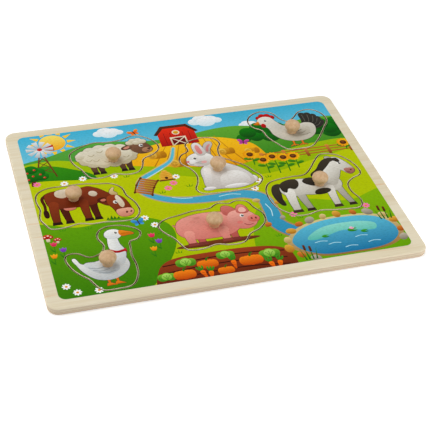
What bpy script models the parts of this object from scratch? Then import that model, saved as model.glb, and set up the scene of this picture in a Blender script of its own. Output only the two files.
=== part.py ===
"""Farm animal knob puzzle for a toddler: a flat wooden board with seven lift-out animals.

The board is two thin sheets glued face to face. The lower sheet is whole and makes the floor of
every recess. The upper sheet carries the printed farm, with seven animal shapes sawn out of it. The
sawn-out shapes are the pieces, so a piece is as thick as the sheet that it came from and lies level
with it, with an even saw cut all round. Each piece has a turned beech knob, held by a countersunk
wood screw driven up from underneath.

Metres, +Z up, the underside of the board at z = 0, its centre at the origin, +Y to the top of the
picture.
"""

from math import cos, pi, radians, sin, tan

import bmesh
import bpy
from mathutils import Matrix, Vector
from mathutils.geometry import interpolate_bezier

MM = 0.001

# The two sheets of the board
BOARD_WIDTH = 300.0 * MM
BOARD_DEPTH = 230.0 * MM
BOARD_CORNER_RADIUS = 9.0 * MM
BOARD_EDGE_ROUND = 1.2 * MM
BACKING_THICKNESS = 2.7 * MM
FACE_THICKNESS = 3.0 * MM
FACE_SEAT_GAP = 0.3 * MM  # the glue line, and what a piece lies clear of the recess floor

# The pieces, sawn out of the face sheet
SAW_CUT = 1.2 * MM
PIECE_EDGE_BREAK = 0.25 * MM
OUTLINE_UNIT = 1.0 * MM
OUTLINE_STEP = 2.9 * MM

# The turned knob
KNOB_DIAMETER = 13.6 * MM
KNOB_FOOT_DIAMETER = 8.2 * MM
KNOB_WIDEST_HEIGHT = 6.8 * MM  # above the piece
KNOB_CROWN_HEIGHT = 4.6 * MM  # from the widest ring to the top
KNOB_BELLY_DEPTH = 5.6 * MM  # half height of the oval under the widest ring
KNOB_SEAT_GAP = 0.3 * MM

# The countersunk screw under each knob
SCREW_SHANK_DIAMETER = 2.6 * MM
SCREW_HEAD_DIAMETER = 5.2 * MM
SCREW_HEAD_RIM = 0.3 * MM
SCREW_LENGTH = 9.6 * MM
SCREW_HEAD_ANGLE = radians(90.0)
SCREW_POINT_ANGLE = radians(50.0)
SCREW_SUNK = 0.3 * MM  # its head lies this far up inside the piece
SCREW_CLEARANCE = 0.3 * MM
PILOT_SPARE_DEPTH = 0.5 * MM

CORNER_SEGMENTS = 8
EDGE_SEGMENTS = 3
KNOB_SIDES = 24
KNOB_ARC_STEPS = 6
SCREW_SIDES = 12
KNOB_SHARP_ABOVE = radians(40.0)
SCREW_SHARP_ABOVE = radians(30.0)
CUTTER_OVERRUN = 2.0 * MM
LEVEL_WITHIN = 0.01 * MM
MERGE_WITHIN = 0.001 * MM

FACE_BOTTOM = BACKING_THICKNESS + FACE_SEAT_GAP
FACE_TOP = FACE_BOTTOM + FACE_THICKNESS

# Heights above the recess floor, which is each piece's own z = 0
PIECE_BOTTOM = FACE_SEAT_GAP
PIECE_TOP = PIECE_BOTTOM + FACE_THICKNESS
SCREW_BOTTOM = PIECE_BOTTOM + SCREW_SUNK

# Each animal: where its knob stands on the board, and the outline of its piece round that knob,
# anticlockwise, in units of OUTLINE_UNIT. The saw keeps 4 to 5 mm outside the printed animal.
ANIMALS = {
    "sheep": {
        "knob": (-65.8, 56.5),
        "outline": [
            (-23, -20.5), (-12, -22), (-3, -19), (7, -22), (17, -20.5), (22, -13), (25, -3.5), (34, 1),
            (41, 8), (40.5, 17), (34, 26), (24, 31), (13, 27), (0, 26), (-12, 27.5), (-25, 22.5),
            (-34, 15), (-34, 3), (-28.5, -8),
        ],
    },
    "cow": {
        "knob": (-108.3, 10.6),
        "outline": [
            (-24, -33.5), (-13, -34), (-1, -31.5), (8, -34), (20, -34), (30, -35.5), (42, -35), (48, -27),
            (47, -15), (42, -4), (40.5, 6), (34, 13), (22, 15.5), (10, 18), (-4, 18), (-18, 18),
            (-27, 13), (-29.5, 3), (-28, -8), (-30, -20), (-27, -28),
        ],
    },
    "goose": {
        "knob": (-98.0, -74.2),
        "outline": [
            (-9, -27), (2, -28), (13, -26.5), (19, -17), (20.5, -5), (19.5, 6), (20.5, 15), (22, 23),
            (29, 25.5), (32, 33), (24.5, 40.5), (12, 44), (2, 40.5), (-1, 32), (2, 22), (-2, 13.5),
            (-12, 10.5), (-21, 17), (-29, 15.5), (-28.5, 5), (-23, -6), (-16.5, -13.5), (-13, -21),
        ],
    },
    "pig": {
        "knob": (-6.5, -47.5),
        "outline": [
            (-27, -24), (-15, -25), (-4, -22), (6, -25), (18, -24), (25, -15.5), (34, -11), (41, -3.5),
            (42.5, 6), (37.5, 15), (34, 24), (26, 26.5), (19, 24), (11, 26.5), (2, 21.5), (-12, 21),
            (-25, 18), (-36, 15.5), (-43, 9), (-40, 0), (-34.5, -8), (-31, -17),
        ],
    },
    "rabbit": {
        "knob": (17.2, 24.4),
        "outline": [
            (-21, -29), (-8, -31), (6, -31.5), (19, -30.5), (28.5, -26.5), (33, -18.5), (28.5, -9), (23, 1),
            (14, 9.5), (7, 17), (7.5, 28), (11.5, 38), (5, 46), (-8, 46), (-17, 41), (-17.5, 30.5),
            (-25.5, 25), (-28, 15.5), (-22, 6), (-19, -4), (-21, -15), (-24.5, -23),
        ],
    },
    "pony": {
        "knob": (94.5, -14.5),
        "outline": [
            (-32, -35), (-23, -36), (-11, -33), (1, -35), (12, -36), (23, -35.5), (26, -27), (22.5, -15),
            (23.5, -4), (31, 3), (39, 7), (39.5, 17), (35.5, 28), (28, 36.5), (16, 40), (8, 32.5),
            (0, 22), (-8, 15), (-20, 14.5), (-31, 13.5), (-41, 10), (-46, 0.5), (-46.5, -12), (-44, -22),
            (-39, -29),
        ],
    },
    "hen": {
        "knob": (96.9, 63.6),
        "outline": [
            (-11, -24), (0, -25), (10, -24), (17, -17.5), (24, -8.5), (30.5, 1.5), (36.5, 11), (35.5, 22),
            (28, 30), (17, 29), (9, 21), (1, 16.5), (-5, 23), (-9, 32), (-18, 36), (-28, 32),
            (-33, 24), (-32, 15), (-25, 8), (-23.5, -2), (-18.5, -13),
        ],
    },
}


def clear_scene():
    for old in list(bpy.data.objects):
        bpy.data.objects.remove(old, do_unlink=True)


def finish(name, colour, roughness, metallic=0.0):
    """A plain finish: linear colour, roughness and metallic value."""
    made = bpy.data.materials.new(name)
    made.use_nodes = True
    shader = made.node_tree.nodes["Principled BSDF"]
    shader.inputs["Base Color"].default_value = (*colour, 1.0)
    shader.inputs["Roughness"].default_value = roughness
    shader.inputs["Metallic"].default_value = metallic
    return made


def place_object(name, shape, material, parent=None):
    """Turns a bmesh into a named object with its faces pointing out."""
    bmesh.ops.recalc_face_normals(shape, faces=shape.faces)
    mesh = bpy.data.meshes.new(name)
    shape.to_mesh(mesh)
    shape.free()
    made = bpy.data.objects.new(name, mesh)
    bpy.context.collection.objects.link(made)
    made.parent = parent
    if material:
        mesh.materials.append(material)
    return made


def shade_round(made, sharp_above):
    made.data.shade_smooth()
    made.data.set_sharp_from_angle(angle=sharp_above)


def hide_cutter(cutter):
    cutter.hide_render = True
    cutter.display_type = "WIRE"


def cut_away(target, cutter):
    cut = target.modifiers.new("cut_" + cutter.name, "BOOLEAN")
    cut.operation = "DIFFERENCE"
    cut.solver = "EXACT"
    cut.object = cutter


def bevel_edges(shape, edges, width, segments):
    bmesh.ops.bevel(
        shape, geom=edges, offset=width, segments=segments, profile=0.5, affect="EDGES", material=-1
    )


def level_edges(shape, height):
    """The edges that lie flat at this height: the rim of a face seen from above or below."""
    return [e for e in shape.edges if all(abs(v.co.z - height) < LEVEL_WITHIN for v in e.verts)]


def board_sheet(name, bottom, thickness, rounded_rim, material):
    """One sheet of the board, with round corners and one rounded rim."""
    shape = bmesh.new()
    bmesh.ops.create_cube(shape, size=1.0)
    size = Matrix.Diagonal((BOARD_WIDTH, BOARD_DEPTH, thickness, 1.0))
    lift = Matrix.Translation((0.0, 0.0, bottom + thickness / 2))
    bmesh.ops.transform(shape, matrix=lift @ size, verts=shape.verts)
    upright = [e for e in shape.edges if abs(e.verts[0].co.z - e.verts[1].co.z) > thickness / 2]
    bevel_edges(shape, upright, BOARD_CORNER_RADIUS, CORNER_SEGMENTS)
    bevel_edges(shape, level_edges(shape, rounded_rim), BOARD_EDGE_ROUND, EDGE_SEGMENTS)
    return place_object(name, shape, material)


def smooth_outline(corners):
    """A closed smooth curve through the corners, as points about OUTLINE_STEP apart.

    At a corner the curve runs parallel to the line from the corner before it to the one after it.
    """
    count = len(corners)
    spots = [Vector(corner) * OUTLINE_UNIT for corner in corners]
    heading = [(spots[(i + 1) % count] - spots[i - 1]).normalized() for i in range(count)]
    points = []
    for i in range(count):
        start = spots[i]
        end = spots[(i + 1) % count]
        reach = (end - start).length / 3
        steps = max(2, round((end - start).length / OUTLINE_STEP))
        first_handle = start + heading[i] * reach
        second_handle = end - heading[(i + 1) % count] * reach
        points += interpolate_bezier(start, first_handle, second_handle, end, steps + 1)[:-1]
    return points


def grown(points, distance):
    """The outline moved outwards by a distance, square to its own run."""
    count = len(points)
    moved = []
    for i in range(count):
        run = (points[(i + 1) % count] - points[i - 1]).normalized()
        moved.append(points[i] + Vector((run.y, -run.x)) * distance)
    return moved


def prism(points, bottom, top):
    """A bmesh of a flat outline drawn up from bottom to top."""
    shape = bmesh.new()
    ring = [shape.verts.new((p.x, p.y, bottom)) for p in points]
    base = shape.faces.new(ring)
    drawn = bmesh.ops.extrude_face_region(shape, geom=[base])
    raised = [v for v in drawn["geom"] if isinstance(v, bmesh.types.BMVert)]
    bmesh.ops.translate(shape, vec=(0.0, 0.0, top - bottom), verts=raised)
    return shape


def turned(profile, sides):
    """A bmesh turned from a half profile of (radius, height) that starts and ends on the axis."""
    shape = bmesh.new()
    dots = [shape.verts.new((radius, 0.0, height)) for radius, height in profile]
    line = [shape.edges.new(pair) for pair in zip(dots, dots[1:])]
    bmesh.ops.spin(
        shape,
        geom=dots + line,
        cent=(0.0, 0.0, 0.0),
        axis=(0.0, 0.0, 1.0),
        angle=2 * pi,
        steps=sides,
        use_merge=True,
        use_duplicate=False,
    )
    bmesh.ops.remove_doubles(shape, verts=shape.verts, dist=MERGE_WITHIN)
    return shape


def screw_profile(bottom, grow=0.0, spare=0.0):
    """Half profile of the screw, head down. Grown all round, it is the hole that the screw passes."""
    head = SCREW_HEAD_DIAMETER / 2 + grow
    shank = SCREW_SHANK_DIAMETER / 2 + grow
    cone_bottom = bottom + SCREW_HEAD_RIM + grow
    cone_top = cone_bottom + (head - shank) / tan(SCREW_HEAD_ANGLE / 2)
    tip = bottom + SCREW_LENGTH + spare
    point = shank / tan(SCREW_POINT_ANGLE / 2)
    half = [(0.0, bottom), (head, bottom), (head, cone_bottom), (shank, cone_top)]
    return half + [(shank, tip - point), (0.0, tip)]


def knob_profile(foot):
    """Half profile of the knob, from the end of its blind pilot hole, down and round to its crown.

    Above its widest ring the knob is a flattened dome. Below, an oval belly draws in to the straight
    foot that sits on the piece.
    """
    hole = SCREW_SHANK_DIAMETER / 2 + SCREW_CLEARANCE
    widest = KNOB_DIAMETER / 2
    foot_radius = KNOB_FOOT_DIAMETER / 2
    middle = foot + KNOB_WIDEST_HEIGHT
    hole_end = SCREW_BOTTOM + SCREW_LENGTH + PILOT_SPARE_DEPTH
    hole_wall_end = hole_end - hole / tan(SCREW_POINT_ANGLE / 2)
    profile = [(0.0, hole_end), (hole, hole_wall_end), (hole, foot), (foot_radius, foot)]
    belly_drop = KNOB_BELLY_DEPTH * (1 - (foot_radius / widest) ** 2) ** 0.5
    profile.append((foot_radius, middle - belly_drop))
    for step in range(1, KNOB_ARC_STEPS):
        drop = belly_drop * (1 - step / KNOB_ARC_STEPS)
        profile.append((widest * (1 - (drop / KNOB_BELLY_DEPTH) ** 2) ** 0.5, middle - drop))
    for step in range(KNOB_ARC_STEPS):
        turn = pi / 2 * step / KNOB_ARC_STEPS
        profile.append((widest * cos(turn), middle + KNOB_CROWN_HEIGHT * sin(turn)))
    return profile + [(0.0, middle + KNOB_CROWN_HEIGHT)]


def animal_piece(name, animal, printed, beech, steel):
    """One lift-out piece with its knob and screw, built round its lift axis.

    Returns the cutter of its recess, to be taken out of the face sheet.
    """
    place = bpy.data.objects.new(name + "_lift_axis", None)
    bpy.context.collection.objects.link(place)
    place.location = (*(Vector(animal["knob"]) * OUTLINE_UNIT), BACKING_THICKNESS)

    outline = smooth_outline(animal["outline"])
    shape = prism(outline, PIECE_BOTTOM, PIECE_TOP)
    bevel_edges(shape, level_edges(shape, PIECE_TOP), PIECE_EDGE_BREAK, 1)
    piece = place_object(name + "_piece", shape, printed, place)

    knob_shape = turned(knob_profile(PIECE_TOP + KNOB_SEAT_GAP), KNOB_SIDES)
    knob = place_object(name + "_knob", knob_shape, beech, place)
    shade_round(knob, KNOB_SHARP_ABOVE)

    screw_shape = turned(screw_profile(SCREW_BOTTOM), SCREW_SIDES)
    screw = place_object(name + "_knob_screw", screw_shape, steel, place)
    shade_round(screw, SCREW_SHARP_ABOVE)

    # The countersunk hole is the screw grown all round, its mouth drawn down out of the piece
    mouth = PIECE_BOTTOM - CUTTER_OVERRUN
    hole = screw_profile(SCREW_BOTTOM, SCREW_CLEARANCE)
    hole = [(radius, mouth if height == SCREW_BOTTOM else height) for radius, height in hole]
    cutter = place_object(name + "_screw_hole", turned(hole, SCREW_SIDES), None, place)
    hide_cutter(cutter)
    cut_away(piece, cutter)

    recess = prism(grown(outline, SAW_CUT), -CUTTER_OVERRUN, PIECE_TOP + CUTTER_OVERRUN)
    recess_cutter = place_object(name + "_recess", recess, None, place)
    hide_cutter(recess_cutter)
    return recess_cutter


clear_scene()

bare_wood = finish("bare_wood", (0.72, 0.60, 0.42), 0.65)
printed_face = finish("printed_farm", (0.32, 0.44, 0.02), 0.35)
beech = finish("turned_beech", (0.64, 0.45, 0.27), 0.45)
zinc = finish("zinc_screw", (0.62, 0.60, 0.55), 0.35, 1.0)
printed_animals = {
    "sheep": finish("sheep_print", (0.78, 0.75, 0.66), 0.35),
    "cow": finish("cow_print", (0.19, 0.03, 0.01), 0.35),
    "goose": finish("goose_print", (0.78, 0.78, 0.75), 0.35),
    "pig": finish("pig_print", (0.80, 0.37, 0.33), 0.35),
    "rabbit": finish("rabbit_print", (0.74, 0.72, 0.68), 0.35),
    "pony": finish("pony_print", (0.66, 0.66, 0.64), 0.35),
    "hen": finish("hen_print", (0.74, 0.70, 0.62), 0.35),
}

board_sheet("backing_panel", 0.0, BACKING_THICKNESS, 0.0, bare_wood)
face_panel = board_sheet("face_panel", FACE_BOTTOM, FACE_THICKNESS, FACE_TOP, printed_face)
for animal_name, animal_data in ANIMALS.items():
    recess_shape = animal_piece(animal_name, animal_data, printed_animals[animal_name], beech, zinc)
    cut_away(face_panel, recess_shape)
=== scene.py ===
"""Looks of the farm animal knob puzzle: printed plywood board, seven lift-out animals, beech knobs.

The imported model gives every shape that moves. This script adds its wood, its glue line, the printed
picture, the turned knobs and their screws, and the table, lights and camera of the photograph.
Lengths are metres, but the picture is drawn in millimetres from the middle of the board.
"""

from math import cos, pi, radians, sin, tan

import bmesh
import bpy
from mathutils import Matrix, Vector
from mathutils.geometry import delaunay_2d_cdt, interpolate_bezier


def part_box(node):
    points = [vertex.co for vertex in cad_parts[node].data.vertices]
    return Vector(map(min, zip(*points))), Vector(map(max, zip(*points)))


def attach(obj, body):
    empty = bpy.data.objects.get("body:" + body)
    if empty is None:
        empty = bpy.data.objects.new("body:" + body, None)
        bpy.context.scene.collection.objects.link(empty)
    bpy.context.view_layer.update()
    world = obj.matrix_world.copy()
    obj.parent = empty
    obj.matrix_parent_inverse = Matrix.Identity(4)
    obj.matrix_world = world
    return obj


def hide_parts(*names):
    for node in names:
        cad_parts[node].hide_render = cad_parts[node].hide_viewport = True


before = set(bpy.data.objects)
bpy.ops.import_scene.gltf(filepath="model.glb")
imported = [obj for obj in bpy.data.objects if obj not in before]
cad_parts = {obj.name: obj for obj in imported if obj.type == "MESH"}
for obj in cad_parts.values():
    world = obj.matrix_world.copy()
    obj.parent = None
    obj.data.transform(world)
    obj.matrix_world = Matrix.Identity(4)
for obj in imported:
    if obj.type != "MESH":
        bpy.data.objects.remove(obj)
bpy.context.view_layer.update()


# THE CAMERA
# It stands in front of the board and a little to its left, looks down at it, and is held at a
# slight tilt, so that the board's near edge climbs to the right as in the photograph.
LOOK_AZIMUTH = radians(-18.03)
LOOK_DOWN = radians(38.58)
LOOK_TILT = radians(3.21)
LOOK_FROM = 0.940
LOOK_AT = Vector((0.0006, -0.029, 0.0))
LENS_PIXELS = 1160
FRAME_PIXELS = 432

back = Vector((
    sin(LOOK_AZIMUTH) * cos(LOOK_DOWN),
    -cos(LOOK_AZIMUTH) * cos(LOOK_DOWN),
    sin(LOOK_DOWN),
))
level = Vector((cos(LOOK_AZIMUTH), sin(LOOK_AZIMUTH), 0.0))
upward = back.cross(level)
right = level * cos(LOOK_TILT) + upward * sin(LOOK_TILT)
above = upward * cos(LOOK_TILT) - level * sin(LOOK_TILT)


def add_object(name, data):
    """An object of a camera, a lamp or a mesh, in the scene."""
    made = bpy.data.objects.new(name, data)
    bpy.context.collection.objects.link(made)
    return made


lens = bpy.data.cameras.new("camera")
lens.lens = lens.sensor_width * LENS_PIXELS / FRAME_PIXELS
lens.clip_start = 0.01
lens.clip_end = 20.0
camera = add_object("camera", lens)
turned_to_view = Matrix((right, above, back)).transposed().to_4x4()
camera.matrix_world = Matrix.Translation(LOOK_AT + back * LOOK_FROM) @ turned_to_view
bpy.context.scene.camera = camera
bpy.context.scene.view_settings.view_transform = "Standard"


# THE BOARD
# Two sheets of pale three-ply wood, glued face to face and sanded round at the rims. The lower one
# is whole. The seven recesses are sawn right through the upper one, so its walls show the plies.
def colour(chart):
    """A chart colour such as "e8dcc0" as the linear red, green, blue and 1 that a shader takes."""
    parts = [int(chart[i:i + 2], 16) / 255 for i in (0, 2, 4)]
    return (*(c / 12.92 if c <= 0.04045 else ((c + 0.055) / 1.055) ** 2.4 for c in parts), 1.0)


class Wire:
    """The output of a node. Sums with numbers and with other wires add Math nodes."""

    def __init__(self, nodes, socket):
        self.nodes = nodes
        self.socket = socket

    def __add__(self, other):
        return self.nodes.math("ADD", self, other)

    def __sub__(self, other):
        return self.nodes.math("SUBTRACT", self, other)

    def __rsub__(self, other):
        return self.nodes.math("SUBTRACT", other, self)

    def __mul__(self, other):
        return self.nodes.math("MULTIPLY", self, other)

    def __lt__(self, other):
        return self.nodes.math("LESS_THAN", self, other)

    def __abs__(self):
        return self.nodes.math("ABSOLUTE", self, 0.0)

    __radd__ = __add__
    __rmul__ = __mul__


class Nodes:
    """The nodes of one material or world."""

    def __init__(self, tree):
        self.tree = tree

    def feed(self, node, socket, value):
        """Gives a socket a wire, a number or a chart colour."""
        if isinstance(value, Wire):
            self.tree.links.new(value.socket, node.inputs[socket])
        else:
            node.inputs[socket].default_value = colour(value) if isinstance(value, str) else value

    def node(self, kind, settings=None, values=None, output=0):
        """A node of any kind: its settings first, then what goes into its sockets."""
        made = self.tree.nodes.new(kind)
        for key, value in (settings or {}).items():
            setattr(made, key, value)
        for socket, value in (values or {}).items():
            self.feed(made, socket, value)
        return Wire(self, made.outputs[output])

    def math(self, operation, first, second):
        return self.node("ShaderNodeMath", {"operation": operation}, {0: first, 1: second})


class Finish(Nodes):
    """One finish and its nodes, round a single Principled BSDF."""

    def __init__(self, name, specular=0.5, metallic=0.0):
        self.made = bpy.data.materials.new(name)
        self.made.use_nodes = True
        super().__init__(self.made.node_tree)
        self.put("Specular IOR Level", specular)
        self.put("Metallic", metallic)

    def put(self, socket, value):
        self.feed(self.tree.nodes["Principled BSDF"], socket, value)

    def cloud(self, *stretch, detail=3.0):
        """Soft noise from 0 to 1, with this many lumps to the metre along each axis."""
        spot = self.node("ShaderNodeTexCoord", output="Object")
        spot = self.node("ShaderNodeMapping", None, {"Vector": spot, "Scale": stretch})
        values = {"Vector": spot, "Scale": 1.0, "Detail": detail, "Roughness": 0.55}
        return self.node("ShaderNodeTexNoise", None, values)

    def between(self, low, high, value):
        """0 below low, 1 above high, and a smooth step from one to the other."""
        values = {"Value": value, "From Min": low, "From Max": high}
        return self.node("ShaderNodeMapRange", {"interpolation_type": "SMOOTHSTEP"}, values)

    def mix(self, first, second, share, blend="MIX"):
        """The first colour with a share of the second over it."""
        settings = {"data_type": "RGBA", "blend_type": blend, "clamp_factor": True}
        return self.node("ShaderNodeMix", settings, {0: share, 6: first, 7: second}, output=2)

    def relief(self, height, depth):
        """Lets a height from 0 to 1 stand out of the surface by depth metres."""
        values = {"Height": height, "Distance": depth, "Strength": 1.0}
        self.put("Normal", self.node("ShaderNodeBump", None, values))


BOARD_HALF_WIDTH = 0.150
BOARD_HALF_DEPTH = 0.115
RIM_WIDTH = 0.004
BACKING_TOP = 0.0027
FACE_BOTTOM = 0.0030
SAME_LEVEL = 1e-5
MIDDLE_PLY_BOTTOM = 0.00085
MIDDLE_PLY_TOP = 0.00205
PLY_BLUR = 0.00015
PLY_WAVE = 0.0003
# The sawn walls darken to a dark brown between these two heights. This is partly scorch and partly painted
# shade of the deep, narrow saw cut.
SCORCH_AND_SHADE_STARTS = 0.0026
SCORCH_AND_SHADE_FULL = 0.0018
HEARTWOOD = "dda868"
FRESH_CUT = "f8e2c8"
SAWN_BROWN = "a06e40"
# The dark brown of the lower sawn walls, which is scorch and painted shade together.
SCORCH_AND_SHADE = "553418"


def plywood(name, sheet_bottom, veneer, streak, end_grain):
    """Three-ply with its face grain along the board, and browner walls where a fine saw went through, made
    darker deeper down with painted shade.
    """
    wood = Finish(name, specular=0.3)
    broad = wood.cloud(7.0, 60.0, 60.0)
    bands = wood.cloud(10.0, 320.0, 90.0, detail=5.0)
    fibres = wood.cloud(45.0, 2600.0, 2600.0)
    figure = wood.between(0.38, 0.74, bands) * 0.55 + wood.between(0.4, 0.7, broad) * 0.3
    face = wood.mix(veneer, streak, figure)
    heart = wood.cloud(16.0, 210.0, 60.0, detail=1.0)
    face = wood.mix(face, HEARTWOOD, wood.between(0.64, 0.78, heart) * 0.5)
    face = wood.mix(face, end_grain, wood.between(0.56, 0.78, fibres) * 0.28)

    spot = wood.node("ShaderNodeTexCoord", output="Object")
    across, along, height = (wood.node("ShaderNodeSeparateXYZ", None, {0: spot}, axis) for axis in "XYZ")
    wave = wood.cloud(90.0, 90.0, 90.0, detail=2.0)
    up = height - sheet_bottom + (wave - 0.5) * PLY_WAVE
    middle_ply = wood.between(MIDDLE_PLY_BOTTOM, MIDDLE_PLY_BOTTOM + PLY_BLUR, up)
    middle_ply = middle_ply * wood.between(MIDDLE_PLY_TOP, MIDDLE_PLY_TOP - PLY_BLUR, up)
    pores = wood.cloud(2400.0, 2400.0, 900.0, detail=2.0)
    plies = wood.mix(veneer, end_grain, 0.34 + middle_ply * 0.30)
    plies = wood.mix(plies, streak, wood.between(0.45, 0.75, pores) * 0.5)

    smoke = wood.cloud(160.0, 160.0, 300.0, detail=2.0)
    sawn = wood.mix(plies, FRESH_CUT, 0.6)
    sawn = wood.mix(sawn, SAWN_BROWN, wood.between(0.35, 0.7, smoke) * 0.3)
    # Painted shade with some scorch: the sawn wall gets darker farther down in the cut, where little light
    # reaches.
    sawn = wood.mix(sawn, SCORCH_AND_SHADE, wood.between(SCORCH_AND_SHADE_STARTS, SCORCH_AND_SHADE_FULL, up) * (0.55 + 0.3 * smoke))
    within = (abs(across) < BOARD_HALF_WIDTH - RIM_WIDTH) * (abs(along) < BOARD_HALF_DEPTH - RIM_WIDTH)
    walls = wood.mix(plies, sawn, within)

    normal = wood.node("ShaderNodeNewGeometry", output="Normal")
    facing_up = wood.node("ShaderNodeSeparateXYZ", None, {0: normal}, "Z")
    wood.put("Base Color", wood.mix(face, walls, wood.between(0.75, 0.35, abs(facing_up))))
    wood.put("Roughness", 0.56 + 0.14 * bands)
    wood.relief(fibres * 0.6 + bands * 0.4, 0.00006)
    return wood.made


face_wood = plywood("birch_face_sheet", FACE_BOTTOM, veneer="e9dfc5", streak="d9c7a0", end_grain="c5aa90")
back_wood = plywood("birch_backing_sheet", 0.0, veneer="e2d3b4", streak="d0b98f", end_grain="cbae9c")
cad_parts["face_panel"].data.materials[0] = face_wood
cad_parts["backing_panel"].data.materials[0] = back_wood


# THE GLUE LINE
# White wood glue, rolled on and pressed between the two sheets. It shows as a thin, slightly
# yellow line round the board and at the foot of each recess wall.
def merged_copy(node):
    """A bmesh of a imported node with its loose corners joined."""
    shape = bmesh.new()
    shape.from_mesh(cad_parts[node].data)
    bmesh.ops.remove_doubles(shape, verts=shape.verts, dist=1e-6)
    return shape


def pull(shape, faces, height):
    """Pulls faces of a bmesh up or down, with walls behind them, and gives the corners that moved."""
    pulled = bmesh.ops.extrude_face_region(shape, geom=faces)
    moved = [v for v in pulled["geom"] if isinstance(v, bmesh.types.BMVert)]
    bmesh.ops.translate(shape, vec=(0.0, 0.0, height), verts=moved)
    return moved


def new_object(name, shape):
    """An object made of a bmesh, which is used up."""
    mesh = bpy.data.meshes.new(name)
    shape.to_mesh(mesh)
    shape.free()
    return add_object(name, mesh)


def add_piece(name, shape, finish, body, smooth_below=None):
    """Makes a piece of a bmesh, with its faces pointing out, and lets it ride on a body."""
    bmesh.ops.recalc_face_normals(shape, faces=shape.faces)
    piece = new_object(name, shape)
    piece.data.materials.append(finish.made)
    if smooth_below is not None:
        piece.data.shade_smooth()
        piece.data.set_sharp_from_angle(angle=smooth_below)
    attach(piece, body)
    return piece


glue = Finish("wood_glue_line")
squeeze = glue.cloud(400.0, 400.0, 60.0)
glue.put("Base Color", glue.mix("c9b088", "a98b60", glue.between(0.35, 0.7, squeeze)))
glue.put("Roughness", 0.4 + 0.25 * squeeze)
glue.relief(squeeze, 0.00005)

seam = merged_copy("face_panel")
upper = [v for v in seam.verts if v.co.z > FACE_BOTTOM + SAME_LEVEL]
bmesh.ops.delete(seam, geom=upper, context="VERTS")
pull(seam, seam.faces[:], BACKING_TOP - FACE_BOTTOM)
add_piece("glue_line", seam, glue, "board")


# THE PRINTED FARM
# The whole picture is printed on the upper sheet before it is sawn, so the meadow runs on across
# the animals. It is drawn here shape over shape, each in one ink that may fade to a second one.
MM = 1000
MM_PER_STEP = 1.2
SIDES_PER_MM = 2.2


def doubled_area(rim):
    """Twice the area within a closed line, and negative where the line runs clockwise."""
    return sum(a.cross(b) for a, b in zip(rim, rim[1:] + rim[:1]))


def eased(rim, distance):
    """A closed line, run anticlockwise, moved outwards by a distance."""
    count = len(rim)
    runs = [(rim[(i + 1) % count] - rim[i - 1]).normalized() for i in range(count)]
    return [p + distance * Vector((run.y, -run.x)) for p, run in zip(rim, runs)]


class Pen:
    """Draws in millimetres round a point of the board, at a size and a turn."""

    inks = []

    def __init__(self, x=0, y=0, size=1, turn=0):
        self.first = len(Pen.inks)
        self.home = Vector((x, y))
        self.size = size
        self.turn = Matrix.Rotation(radians(turn), 2)

    def flat(self, points, ink, fade=None, way=-90):
        """A shape with straight sides. Its ink fades to the second one along the way, in degrees."""
        placed = [self.home + self.size * (self.turn @ Vector(p)) for p in points]
        if doubled_area(placed) < 0:
            placed.reverse()
        heading = Vector((cos(radians(way)), sin(radians(way))))
        reach = [p.dot(heading) for p in placed]
        tones = Vector(colour(ink)), Vector(colour(fade or ink))
        Pen.inks.append((placed, *tones, heading, min(reach), max(reach)))

    def block(self, left, low, right, high, *tones):
        self.flat([(left, low), (right, low), (right, high), (left, high)], *tones)

    def bend(self, points, closed):
        """A smooth line through the points, running at each one parallel to its neighbours."""
        line = [Vector(p) for p in points]
        count = len(line)
        line = [line[-1], *line, line[0]] if closed else [line[0], *line, line[-1]]
        heading = [(after - before).normalized() for before, after in zip(line, line[2:])]
        smooth = []
        for i in range(count if closed else count - 1):
            start, end = line[i + 1], line[i + 2]
            reach = (end - start).length / 3
            steps = max(2, round((end - start).length * self.size / MM_PER_STEP))
            handles = start + heading[i] * reach, end - heading[(i + 1) % count] * reach
            smooth += interpolate_bezier(start, *handles, end, steps + 1)[:-1]
        return smooth if closed else smooth + [line[-1]]

    def curve(self, points, *tones):
        """A smooth closed shape through the points."""
        self.flat(self.bend(points, True), *tones)

    def oval(self, x, y, wide, high, *tones, turn=0):
        sides = max(10, min(40, round((wide + high) * self.size * SIDES_PER_MM)))
        lean = Matrix.Rotation(radians(turn), 2)
        spread = [2 * pi * i / sides for i in range(sides)]
        self.flat([Vector((x, y)) + lean @ Vector((wide * cos(a), high * sin(a))) for a in spread], *tones)

    def stroke(self, points, width, *tones):
        """A brush stroke with round ends. A pair of widths lets it taper or swell."""
        first, last = width if isinstance(width, tuple) else (width, width)
        line = self.bend(points, False)
        left, right = [], []
        for i, spot in enumerate(line):
            run = (line[min(i + 1, len(line) - 1)] - line[max(i - 1, 0)]).normalized()
            half = (first + (last - first) * i / (len(line) - 1)) / 2
            side = Vector((-run.y, run.x)) * half
            left.append(spot + side)
            right.append(spot - side)

        def round_end(spot, edge):
            side = edge - spot
            return [spot + Matrix.Rotation(-pi * k / 6, 2) @ side for k in range(1, 6)]

        tip = round_end(line[-1], left[-1])
        tail = round_end(line[0], right[0])
        self.flat(left + tip + right[::-1] + tail, *tones)

    def outline(self, ink, width=0.4):
        """Lays a fine line round all that was drawn since this pen was taken up."""
        edge = Vector(colour(ink))
        under = [(eased(drawn[0], width), edge, edge, *drawn[3:]) for drawn in Pen.inks[self.first:]]
        Pen.inks[self.first:self.first] = under


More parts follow.
